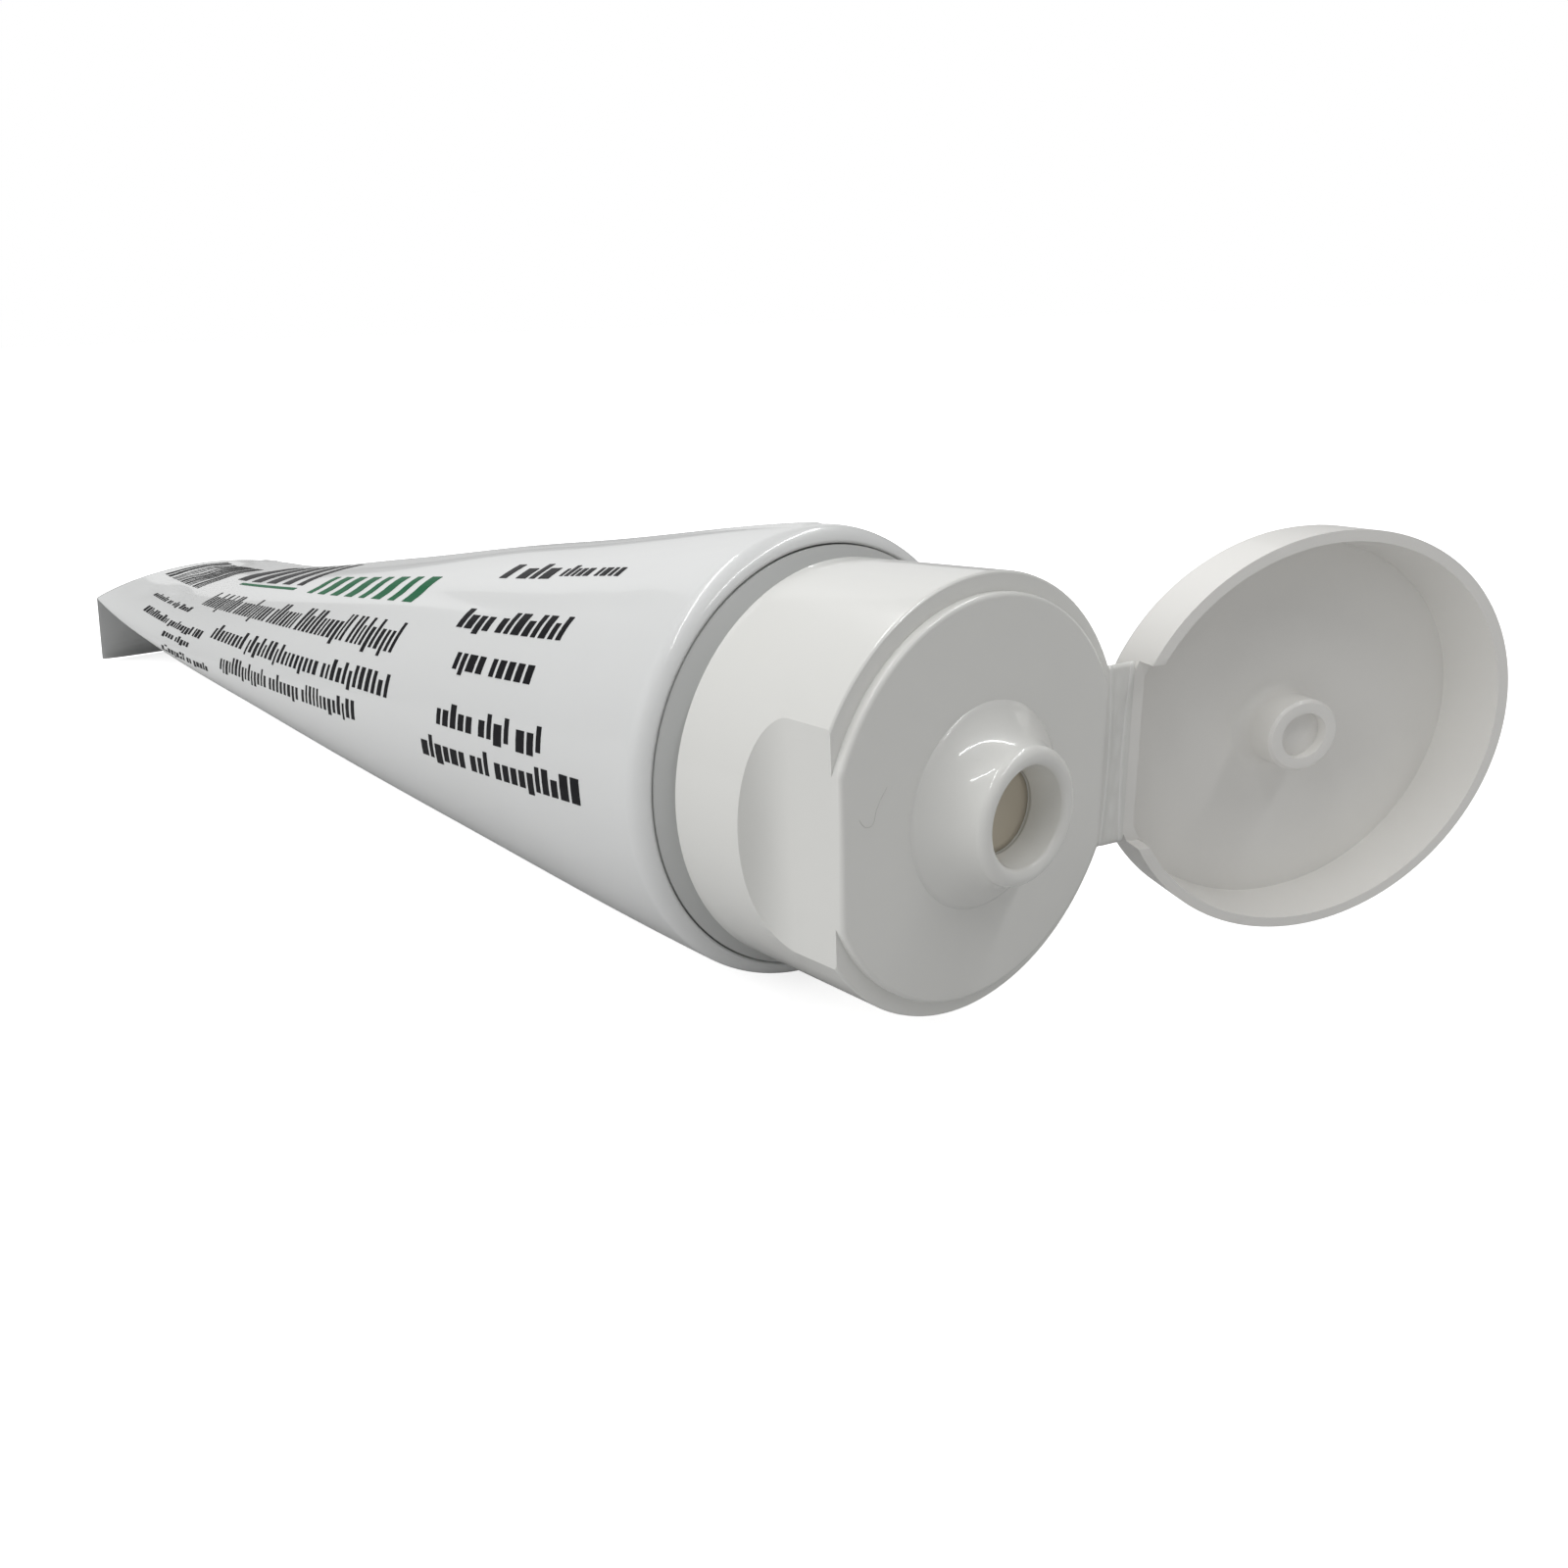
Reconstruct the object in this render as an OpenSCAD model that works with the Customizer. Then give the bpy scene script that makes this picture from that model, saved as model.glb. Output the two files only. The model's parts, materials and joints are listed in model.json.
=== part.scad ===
// Squeeze tube of gel, lying on its side with its flip-top cap open.
// Millimetres. The cap's frame has +Z out of the nozzle, +Y towards the hinge and Z = 0 on the ledge.
// The part's frame has +X out of the nozzle, +Y towards the hinge, +Z up, and its origin on the
// bore's axis where its mouth starts to flare. Every node is made in the cap's or the tube's frame
// and laid down as the tube comes to rest, on its belly and its crimp.

/* [Sleeve] */
// Outer diameter of the laminate sleeve
sleeve_d = 40; // [38.5:0.5:44]
// Wall of the laminate
sleeve_wall = 0.5; // [0.35:0.05:0.7]
// Length from the rolled end to the fold before the crimp
body_len = 160; // [120:1:200]
// Half thickness left at the fold
fold_half = 1.1; // [0.9:0.1:2]
// How slowly the sleeve flattens along its length, 1 being a straight taper
taper_power = 1.45; // [1:0.05:2]
// Height by which the fold stands above the axis
fold_lift = 9; // [0:0.5:12]
// Drop of the fold's two edges below its middle
fold_arch = 8; // [0:0.5:12]
// Twist of the fold against the hinge, in degrees
fold_twist = 11; // [-15:1:15]
// Reach of the bent tail along the axis
tail_reach = 13; // [11:0.5:20]
// Height of the crimp's end below the axis
crimp_drop = 5.5; // [2:0.5:12]
// Length of the heat-sealed crimp
crimp_len = 6; // [4:0.5:8]
// Number of pressed lines across the crimp
crimp_lines = 4; // [2:1:6]
// Depth of the pressed lines
crimp_press = 0.1; // [0.05:0.01:0.15]
// Radius of the sleeve's end where it is rolled over the shoulder
roll_r = 2; // [1.2:0.1:2.5]
// Angle that the rolled end turns through
roll_turn = 73; // [50:1:80]
// Place of the lap seam around the sleeve, 90 being the top
seam_angle = 88; // [70:1:110]
// Height of the lap seam
seam_h = 0.15; // [0.05:0.01:0.25]
// Width of the lap seam
seam_w = 2; // [1.5:0.1:3]

/* [Shoulder] */
// Gap between the cap's skirt and the collar under it
skirt_gap = 0.6; // [0.3:0.1:1]
// Fall of the collar from under the skirt to the sleeve's lip
collar_fall = 1.1; // [0.8:0.1:2]
// Length of the shoulder's rim inside the sleeve
shoulder_rim = 4; // [3:0.5:6]
// Outer radius of the neck
neck_r = 8; // [7:0.1:9]
// Wall of the neck
neck_wall = 1.2; // [1:0.1:1.6]
// Rise of the shoulder's cone from the collar to the neck
cone_rise = 3; // [2:0.5:5]
// Wall of the shoulder's cone
shoulder_wall = 1.4; // [1:0.1:1.8]
// Height of the snap bead around the neck
bead_h = 0.6; // [0.4:0.1:0.8]
// Fall of the snap bead below the neck's top
bead_fall = 2; // [1.5:0.1:3]

/* [Cap base] */
// Outer radius of the cap at its ledge
cap_r = 17.25; // [16.8:0.05:17.4]
// Length of the cap from its ledge to its skirt's end
cap_len = 15.2; // [14:0.1:17]
// Widening of the cap's radius from the ledge to the skirt's end
cap_draft = 0.25; // [0:0.05:0.3]
// Wall of the cap's skirt
cap_wall = 1.3; // [1:0.1:1.6]
// Height of the raised plate above the ledge
plate_h = 0.85; // [0.5:0.05:1.1]
// Width of the ledge around the plate
ledge_w = 1.45; // [1.3:0.05:1.8]
// Thickness of the plate
plate_t = 1.5; // [1.2:0.1:1.8]
// Rounding of the plate's edge
plate_edge_r = 0.4; // [0.2:0.1:0.5]
// Rounding of the ledge's outer edge
ledge_edge_r = 0.3; // [0.1:0.1:0.6]
// Half width of the flat that the hinge strap joins
hinge_half_w = 7.8; // [6:0.1:8.5]
// Length of the plug that seals inside the neck
plug_len = 2; // [1.5:0.1:3]
// Wall of the plug
plug_wall = 1; // [0.8:0.1:1.2]
// Length of the socket that snaps over the neck
socket_len = 7.5; // [6:0.1:8.5]
// Wall of the socket
socket_wall = 1.2; // [1:0.1:1.5]

/* [Nozzle] */
// Height of the nozzle's tip above the ledge
nozzle_h = 5; // [4.2:0.1:5.4]
// Radius of the nozzle's tip
nozzle_r = 5.3; // [5.1:0.1:5.8]
// Radius of the flare where the nozzle leaves the plate
flare_r = 2.8; // [1.5:0.1:3]
// Rounding of the outside of the nozzle's tip
tip_r = 0.8; // [0.5:0.05:0.9]
// Radius of the bore
bore_r = 3.4; // [3.3:0.05:3.6]
// Radius of the flared mouth where the tip's rounding starts
mouth_r = 3.9; // [3.7:0.05:4]
// Depth of the flared mouth below the tip
mouth_depth = 2.7; // [2:0.1:3]

/* [Thumb notch] */
// Depth of the notch at its middle
notch_depth = 2.5; // [2:0.05:3]
// Length of the flat floor from the ledge
notch_len = 4.3; // [3.5:0.1:7]
// Radius of the scoop behind the floor
notch_scoop_r = 3.2; // [2.2:0.1:4]

/* [Lid] */
// Inset of the lid's rim from the ledge's outer edge
lid_inset = 0.35; // [0.15:0.05:0.6]
// Height of the lid
lid_h = 6.8; // [6.4:0.1:7.5]
// Wall of the lid's side at the rim
lid_wall = 0.9; // [0.8:0.05:0.95]
// Thickness of the lid's top
lid_top = 0.9; // [0.8:0.1:1.4]
// Rounding of the lid's outer edge
lid_edge_r = 1.5; // [0.8:0.1:1.8]
// Inward lean of the lid's inner wall, as a radius
lid_draft = 0.4; // [0.2:0.1:0.6]
// Outer radius of the sealing spigot
spigot_r = 3.08; // [2.9:0.02:3.1]
// Radius of the recess in the spigot's tip
spigot_recess_r = 1.95; // [1.6:0.05:2.2]
// Depth of the recess in the spigot's tip
spigot_recess = 1; // [0.5:0.1:1.5]
// Widening of the spigot at its root
spigot_root = 1.2; // [0.6:0.1:1.4]
// Chamfer of the spigot's tip
spigot_chamfer = 0.25; // [0.1:0.05:0.4]
// Height of the spigot's tip above the ledge when the lid is shut
spigot_tip_z = 2; // [1.6:0.1:2.6]
// Rim clearance above the ledge when the lid is shut
rim_gap = 0.3; // [0.2:0.05:0.4]

/* [Hinge] */
// Distance of the hinge line beyond the cap's flat
hinge_out = 1; // [0.8:0.1:1.2]
// Height of the hinge line above the ledge
hinge_z = 1.2; // [1.1:0.1:1.4]
// Angle of the lid from shut, as the tube lies
lid_open = 152; // [0:1:180]
// Thickness of the hinge strap
strap_t = 0.5; // [0.3:0.05:0.6]

/* [Hidden] */

// Clearance between pieces of one body that seat in each other
seat = 0.1;
// Clearance between the lid and the cap base over the lid's travel
travel = 0.3;
// A cut's overshoot past the face that it opens
over = 1;

// Fineness of the exact round pieces and steps of an arc in a profile
round_fn = 96;
arc_steps = 6;

// Sleeve: rings of points, each an ellipse of constant girth about a curving centre line
sleeve_r = sleeve_d / 2;
ring_sides = 44;
body_rings = 24;
girth_power = ln(2) / ln(PI / 2);
roll_r_mid = sleeve_r - roll_r;
lip_x = -cap_len - skirt_gap - collar_fall;
roll_x = lip_x - roll_r * sin(roll_turn);
fold_x = roll_x - body_len;
end_x = fold_x - tail_reach;

// Angles of a ring's points: the upper half with the seam's edges, and its mirror image below
seam_half = asin(seam_w / 2 / sleeve_r);
seam_step = 0.6;
upper_angles = sorted(concat(
    [for (i = [0 : ring_sides / 2]) let (a = i * 360 / ring_sides)
        if (abs(a - seam_angle) > seam_half + 2 * seam_step) a],
    [for (side = [-1, 1], step = [0, seam_step]) seam_angle + side * (seam_half + step)]));
half_count = len(upper_angles) - 1;
ring_count = 2 * half_count;
ring_angles = concat(upper_angles, [for (i = [half_count - 1 : -1 : 1]) 360 - upper_angles[i]]);

// Tail: the flattened end runs down from the fold to the crimp
tail_drop = fold_lift + crimp_drop;
tail_run = norm([tail_reach, tail_drop]);
crimp_from = 1 - crimp_len / tail_run;
slit_half = 0.04;

// Attitude: the tube rests on its belly and on the crimp's lower edge
crimp_z = -crimp_drop - sleeve_wall;
rest_pitch = max([for (ring = outer_rings(), p = ring)
    if (p[0] > fold_x) atan2(crimp_z - p[2], p[0] - end_x)]);

// Shoulder
shoulder_r = sleeve_r - sleeve_wall - seat;
shoulder_in_r = shoulder_r - shoulder_wall;
collar_z = -cap_len - skirt_gap;
neck_base_z = collar_z + cone_rise;
plate_under_z = plate_h - plate_t;
neck_top_z = plate_under_z - seat;
neck_in_r = neck_r - neck_wall;
gel_from = (shoulder_rim + seat) / body_len;
gel_to = 0.85 * crimp_from;

// Cap base
plate_r = cap_r - ledge_w;
socket_r = neck_r + bead_h + seat;
flare = min(flare_r, nozzle_h - tip_r - plate_h);
hinge_flat_y = sqrt(pow(cap_r, 2) - pow(hinge_half_w, 2));
plate_flat_y = hinge_flat_y - lid_wall - 2 * travel;
hinge_flat_len = lid_h - 2 * hinge_z + travel;
hinge_y = hinge_flat_y + hinge_out;
notch_y = cap_r - notch_depth;

// Lid
lid_r = cap_r - lid_inset;
lid_floor_z = lid_h - lid_top;
lid_inner_r = lid_r - lid_wall;
lid_flat_inner_y = hinge_flat_y - lid_wall;
lid_web_z = 2 * hinge_z;

// Points of an arc, as [radius, height] pairs
function arc(centre, r, from, to, steps = arc_steps) =
    [for (i = [0 : steps]) let (a = from + (to - from) * i / steps)
        [centre[0] + r * cos(a), centre[1] + r * sin(a)]];

function sorted(list) =
    len(list) < 2 ? list :
    let (pivot = list[0])
    concat(sorted([for (v = list) if (v < pivot) v]), [pivot],
           sorted([for (v = list) if (v > pivot) v]));

// Half width of a flattened ring whose girth stays that of a circle of radius r
function half_width(r, half_t) =
    pow(pow(PI * r / 2, girth_power) - pow(half_t, girth_power), 1 / girth_power);

// Half thickness of the sleeve at share t of its body
function body_half(t) =
    sleeve_r - (sleeve_r - fold_half) * pow(t, taper_power);

// Height of the sleeve's middle surface at share t of its body and y across it
function body_z(t, y) =
    let (w = pow(t, 2), a = half_width(sleeve_r, body_half(t)))
    fold_lift * pow(t, 4) - w * (fold_arch * pow(y / a, 2) + tan(fold_twist) * y);

// Height of the lap seam at angle q of a ring that is drawn in by inset
function seam_lift(q, inset) =
    inset == 0 && abs(q - seam_angle) < seam_half + seam_step / 2 ? seam_h : 0;

// Ring of the body at share t, drawn in by inset
function body_ring(t, inset) =
    let (b = body_half(t), a = half_width(sleeve_r, b) - inset, x = roll_x - t * body_len)
    [for (q = ring_angles)
        let (lift = seam_lift(q, inset), y = (a + lift) * cos(q))
        [x, y, body_z(t, y) + (b - inset + lift) * sin(q)]];

// Ring of the tail at share u from the fold to the crimp's end, of half thickness half_t
function tail_ring(u, half_t, inset) =
    let (a = half_width(sleeve_r, fold_half) - inset, x = fold_x - u * tail_reach)
    [for (q = ring_angles)
        let (y = a * cos(q), z = (1 - u) * body_z(1, y) - u * crimp_drop)
        [x, y, z + (half_t + seam_lift(q, inset)) * sin(q)]];

// Rings of the rolled end, from its lip to the body, drawn in by inset
function roll_rings(inset) =
    [for (p = arc([roll_r_mid, roll_x], roll_r - inset, roll_turn, roll_turn / 4, 3))
        [for (q = ring_angles) [p[1], p[0] * cos(q), p[0] * sin(q)]]];

// Half thickness of the tail at share u, with the crimp's pressed lines
function tail_half(u) =
    u < crimp_from ? fold_half + (sleeve_wall - fold_half) * u / crimp_from :
    sleeve_wall - crimp_press * (1 - cos(360 * crimp_lines * (u - crimp_from) / (1 - crimp_from))) / 2;

function outer_rings() = concat(
    roll_rings(0),
    [for (i = [0 : body_rings]) body_ring(i / body_rings, 0)],
    [for (u = [crimp_from / 3, crimp_from * 2 / 3]) tail_ring(u, tail_half(u), 0)],
    [for (i = [0 : 2 * crimp_lines]) let (u = crimp_from + (1 - crimp_from) * i / (2 * crimp_lines))
        tail_ring(u, tail_half(u), 0)]);

// The hollow's rings, with the wall and any clearance taken off, down to a slit at the crimp
function inner_rings(inset, from, slit_at) = concat(
    [for (i = [0 : body_rings]) body_ring(from + (1 - from) * i / body_rings, inset)],
    [tail_ring(crimp_from / 2, tail_half(crimp_from / 2) - inset, inset),
     tail_ring(slit_at, slit_half, inset)]);

// Faces that join each ring of a stack to the next, the stack's points starting at start
function skin(count, start, inside) =
    [for (k = [0 : count - 2], i = [0 : ring_count - 1])
        let (a = start + k * ring_count + i, b = start + k * ring_count + (i + 1) % ring_count,
             c = a + ring_count, d = b + ring_count)
        each (inside ? [[a, d, b], [a, c, d]] : [[a, b, d], [a, d, c]])];

// Faces that close a ring from its upper half to its lower half
function ladder(start, forward) =
    [for (i = [0 : half_count - 1])
        let (a = start + i, b = a + 1, c = start + ring_count - i - 1,
             d = start + (ring_count - i) % ring_count,
             face = i == 0 ? [a, b, c] : i == half_count - 1 ? [a, b, d] : [a, b, c, d])
        forward ? face : [for (k = [len(face) - 1 : -1 : 0]) face[k]]];

// Lays a piece of the tube's frame down in the part's frame
module laid_down() {
    rotate([0, -rest_pitch, 0])
        translate([mouth_depth - nozzle_h, 0, 0])
            children();
}

// Turns a piece of the cap's frame into the tube's frame
module cap_frame() {
    laid_down() rotate([0, 90, 0]) children();
}

// Turns a piece that stands on the cap's axis so that it lies along the hinge's direction
module along_hinge(length) {
    rotate([0, 90, 0]) translate([0, 0, -length / 2]) children();
}

module sleeve() {
    outer = outer_rings();
    inner = concat(roll_rings(sleeve_wall), inner_rings(sleeve_wall, 0, crimp_from));
    points = concat([for (ring = outer) each ring], [for (ring = inner) each ring]);
    inner_start = len(outer) * ring_count;
    lip = [for (i = [0 : ring_count - 1])
        let (j = (i + 1) % ring_count)
        each [[i, inner_start + i, inner_start + j], [i, inner_start + j, j]]];
    color("#e9ebea")
        laid_down()
            polyhedron(points, concat(
                skin(len(outer), 0, false),
                skin(len(inner), inner_start, true),
                lip,
                ladder(inner_start - ring_count, true),
                ladder(len(points) - ring_count, false)));
}

// The gel fills the sleeve behind the shoulder, and the shoulder up to the neck's mouth
module gel() {
    color("#d9d6c8")
        union() {
            gel_body();
            gel_neck();
        }
}

module gel_body() {
    rings = inner_rings(sleeve_wall + seat, gel_from, gel_to);
    points = [for (ring = rings) each ring];
    laid_down()
        polyhedron(points, concat(
            skin(len(rings), 0, false),
            ladder(0, false),
            ladder(len(points) - ring_count, true)));
}

module gel_neck() {
    rim_z = roll_x - shoulder_rim;
    cap_frame()
        rotate_extrude($fn = round_fn)
            polygon([
                [0, rim_z - over], [shoulder_in_r - seat, rim_z - over],
                [shoulder_in_r - seat, roll_x - seat],
                [cap_r - shoulder_wall, collar_z - shoulder_wall - seat],
                [neck_in_r - seat, neck_base_z - shoulder_wall - seat],
                [neck_in_r - seat, neck_top_z - plug_len - 2 * seat],
                [0, neck_top_z - plug_len - 2 * seat]]);
}

// Outline of the shoulder and its neck, turned about the nozzle's axis
function shoulder_outline() =
    let (roll_in = roll_r - sleeve_wall - seat,
         lip_in_r = roll_r_mid + roll_in * cos(roll_turn),
         bead_z = neck_top_z - bead_fall)
    concat(
        [[shoulder_in_r, roll_x - shoulder_rim], [roll_r_mid + roll_in, roll_x - shoulder_rim]],
        arc([roll_r_mid, roll_x], roll_in, 0, roll_turn),
        [[lip_in_r, lip_x], [cap_r - cap_wall / 2, collar_z], [cap_r - cap_wall, collar_z],
         [neck_r, neck_base_z],
         [neck_r, bead_z - bead_h], [neck_r + bead_h, bead_z - bead_h / 2],
         [neck_r + bead_h, bead_z], [neck_r, bead_z + bead_h], [neck_r, neck_top_z],
         [neck_in_r, neck_top_z], [neck_in_r, neck_base_z - shoulder_wall],
         [cap_r - cap_wall, collar_z - shoulder_wall],
         [shoulder_in_r, roll_x]]);

module shoulder() {
    color("#b9bbb8")
        cap_frame()
            rotate_extrude($fn = round_fn) polygon(shoulder_outline());
}

// Outline of the nozzle and the plate, from the bore out to the ledge's edge
function cap_top_outline() =
    let (mouth_edge = nozzle_r - tip_r - mouth_r)
    concat(
        [[bore_r, plate_under_z], [bore_r, nozzle_h - mouth_depth]],
        arc([mouth_r + mouth_edge, nozzle_h - mouth_edge], mouth_edge, 180, 90),
        arc([nozzle_r - tip_r, nozzle_h - tip_r], tip_r, 90, 0),
        arc([nozzle_r + flare, plate_h + flare], flare, 180, 270),
        arc([plate_r - plate_edge_r, plate_h - plate_edge_r], plate_edge_r, 90, 0),
        [[plate_r, 0]],
        arc([cap_r - ledge_edge_r, -ledge_edge_r], ledge_edge_r, 90, 0, 3));

// Outline of the skirt and the underside, from the skirt's end in to the bore
function cap_under_outline() =
    let (skirt_in = cap_r - cap_wall, socket_end = plate_under_z - socket_len,
         plug_r = neck_in_r - seat, root = cap_wall - cap_draft)
    [[cap_r + cap_draft, -cap_len], [skirt_in, -cap_len],
     [skirt_in - cap_draft, plate_under_z - root], [skirt_in - cap_draft - root, plate_under_z],
     [socket_r + socket_wall, plate_under_z], [socket_r + socket_wall, socket_end],
     [socket_r, socket_end], [neck_r + seat, socket_end + bead_h],
     [neck_r + seat, socket_end + 2 * bead_h], [socket_r, socket_end + 3 * bead_h],
     [socket_r, plate_under_z],
     [plug_r, plate_under_z], [plug_r, plate_under_z - plug_len],
     [plug_r - plug_wall, plate_under_z - plug_len], [plug_r - plug_wall, plate_under_z]];

module cap_base() {
    color("#f3f3ef")
        cap_frame()
            difference() {
                union() {
                    rotate_extrude($fn = round_fn)
                        polygon(concat(cap_top_outline(), cap_under_outline()));
                    backing(notch_y, notch_len + notch_scoop_r, -1);
                    backing(hinge_flat_y, hinge_flat_len, 1);
                }
                hinge_flat();
                thumb_notch();
            }
}

// The skirt's wall behind a flat that stands at distance y from the axis, on one side
module backing(y, length, side) {
    intersection() {
        translate([-cap_r, side > 0 ? y - cap_wall : -cap_r, -length - cap_wall])
            cube([2 * cap_r, cap_r - y + cap_wall, length + cap_wall + plate_under_z + plate_t / 2]);
        translate([0, 0, -cap_len])
            cylinder(r = cap_r - cap_wall / 2, h = cap_len, $fn = round_fn);
    }
}

// The flat that the strap joins, and the plate's edge set back behind the lid's web
module hinge_flat() {
    translate([-hinge_half_w - over, hinge_flat_y, -hinge_flat_len])
        cube([2 * (hinge_half_w + over), 2 * cap_wall + over, hinge_flat_len + plate_h + over]);
    translate([-hinge_half_w, plate_flat_y, 0])
        cube([2 * hinge_half_w, 2 * cap_wall + over, plate_h + over]);
}

// The scoop for a thumb under the lid's rim, opposite the hinge
module thumb_notch() {
    translate([-cap_r, -cap_r - over, -notch_len])
        cube([2 * cap_r, cap_r + over - notch_y, notch_len + plate_h + over]);
    translate([0, -notch_y - notch_scoop_r, -notch_len])
        along_hinge(2 * cap_r)
            cylinder(r = notch_scoop_r, h = 2 * cap_r, $fn = round_fn);
    difference() {
        translate([-cap_r, -notch_y - over, plate_h - plate_edge_r])
            cube([2 * cap_r, plate_edge_r + over, plate_edge_r + over]);
        translate([0, plate_edge_r - notch_y, plate_h - plate_edge_r])
            along_hinge(2 * cap_r + over)
                cylinder(r = plate_edge_r, h = 2 * cap_r + over, $fn = round_fn);
    }
}

// Turns a piece drawn on the shut cap about the hinge line, by the lid's angle
module swung(angle) {
    translate([0, hinge_y, hinge_z])
        rotate([-angle, 0, 0])
            translate([0, -hinge_y, -hinge_z])
                children();
}

module lid_shell() {
    rotate_extrude($fn = round_fn)
        polygon(concat(
            [[0, lid_floor_z], [0, lid_h]],
            arc([lid_r - lid_edge_r, lid_h - lid_edge_r], lid_edge_r, 90, 0),
            [[lid_r, rim_gap], [lid_inner_r, rim_gap],
             [lid_inner_r - lid_draft, lid_floor_z]]));
}

module spigot() {
    root_z = lid_floor_z - spigot_root;
    rotate_extrude($fn = round_fn)
        polygon(concat(
            [[0, spigot_tip_z + spigot_recess], [spigot_recess_r, spigot_tip_z + spigot_recess],
             [spigot_recess_r, spigot_tip_z], [spigot_r - spigot_chamfer, spigot_tip_z],
             [spigot_r, spigot_tip_z + spigot_chamfer]],
            arc([spigot_r + spigot_root, root_z], spigot_root, 180, 90),
            [[0, lid_floor_z]]));
}

// The flat wall inside the lid along the hinge, clear of the plate when the lid is shut
module lid_web() {
    intersection() {
        translate([-lid_r, lid_flat_inner_y, lid_web_z])
            cube([2 * lid_r, lid_wall, lid_h - lid_web_z]);
        cylinder(r = lid_r - lid_edge_r / 2, h = lid_floor_z + lid_top / 2, $fn = round_fn);
    }
}

module lid() {
    color("#eeeee9")
        cap_frame()
            swung(lid_open)
                difference() {
                    union() {
                        lid_shell();
                        spigot();
                        lid_web();
                    }
                    translate([-lid_r, hinge_flat_y, -over])
                        cube([2 * lid_r, lid_r, lid_h + 2 * over]);
                    translate([-hinge_half_w, plate_flat_y, -over])
                        cube([2 * hinge_half_w, lid_r, lid_web_z + over]);
                }
}

// Place of a point of the shut lid's hinge side, as [y, z], with the lid open
function open_point(y, z) =
    [hinge_y + (y - hinge_y) * cos(lid_open) + (z - hinge_z) * sin(lid_open),
     hinge_z - (y - hinge_y) * sin(lid_open) + (z - hinge_z) * cos(lid_open)];

// The web between the cap's flat and the lid's, as it lies with the lid open
module hinge_strap() {
    lid_side_y = hinge_flat_y + seat / 2;
    color("#f3f3ef")
        cap_frame()
            rotate([90, 0, 90])
                translate([0, 0, -hinge_half_w])
                    linear_extrude(2 * hinge_half_w)
                        polygon([
                            [hinge_flat_y, -strap_t], [hinge_flat_y, 0],
                            open_point(lid_side_y, lid_web_z),
                            open_point(lid_side_y, lid_web_z + strap_t)]);
}

sleeve();
shoulder();
gel();
cap_base();
hinge_strap();
lid();
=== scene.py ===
import json
import math
import random

import bpy
import numpy as np
from mathutils import Matrix, Vector


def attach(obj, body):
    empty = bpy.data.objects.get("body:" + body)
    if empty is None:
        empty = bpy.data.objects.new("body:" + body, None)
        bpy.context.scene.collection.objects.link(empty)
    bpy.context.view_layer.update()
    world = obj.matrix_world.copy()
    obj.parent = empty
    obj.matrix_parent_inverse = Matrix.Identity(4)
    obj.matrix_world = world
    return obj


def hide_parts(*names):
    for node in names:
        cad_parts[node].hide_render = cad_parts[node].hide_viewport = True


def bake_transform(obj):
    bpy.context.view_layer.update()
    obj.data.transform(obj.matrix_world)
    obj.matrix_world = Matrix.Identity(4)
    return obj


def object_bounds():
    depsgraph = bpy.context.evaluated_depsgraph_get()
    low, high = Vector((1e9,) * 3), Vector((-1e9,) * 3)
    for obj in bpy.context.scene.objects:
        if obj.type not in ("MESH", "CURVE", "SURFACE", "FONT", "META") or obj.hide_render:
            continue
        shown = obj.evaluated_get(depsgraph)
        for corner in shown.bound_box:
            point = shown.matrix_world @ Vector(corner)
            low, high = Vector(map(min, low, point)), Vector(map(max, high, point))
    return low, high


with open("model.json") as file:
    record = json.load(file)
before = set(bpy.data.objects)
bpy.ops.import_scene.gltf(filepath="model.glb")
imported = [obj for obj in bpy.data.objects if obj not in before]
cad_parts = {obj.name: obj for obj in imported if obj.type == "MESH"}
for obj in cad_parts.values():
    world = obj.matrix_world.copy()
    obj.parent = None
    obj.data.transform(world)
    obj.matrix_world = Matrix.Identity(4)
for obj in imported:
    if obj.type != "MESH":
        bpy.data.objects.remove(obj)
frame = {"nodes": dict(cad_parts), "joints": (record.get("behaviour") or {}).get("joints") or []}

CAD_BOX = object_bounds()
MM = 0.001

# Sleeve, in millimetres in the tube's own frame: +X out of the nozzle, +Y to the hinge, +Z up
SLEEVE_R = 20.0
SLEEVE_WALL = 0.5
BODY_LEN = 160.0
FOLD_HALF = 1.1
TAPER_POWER = 1.45
FOLD_LIFT = 9.0
FOLD_ARCH = 8.0
FOLD_TWIST = math.radians(11)
TAIL_REACH = 13.0
CRIMP_DROP = 5.5
CRIMP_LEN = 6.0
CRIMP_LINES = 4
CRIMP_PRESS = 0.1
ROLL_R = 2.0
ROLL_TURN = math.radians(73)
SEAM_H = 0.15
SEAM_W = 2.0
SEAM_ANGLE = math.radians(88)
LIP_X = -16.9
THROAT_X = 2.3

ROLL_X = LIP_X - ROLL_R * math.sin(ROLL_TURN)
ROLL_MID = SLEEVE_R - ROLL_R
FOLD_X = ROLL_X - BODY_LEN
GIRTH_POWER = math.log(2) / math.log(math.pi / 2)
TAIL_RUN = math.hypot(TAIL_REACH, FOLD_LIFT + CRIMP_DROP)
CRIMP_FROM = 1 - CRIMP_LEN / TAIL_RUN
TOP_ANGLE = math.pi / 2
LOW_ANGLE = math.radians(215)

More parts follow.
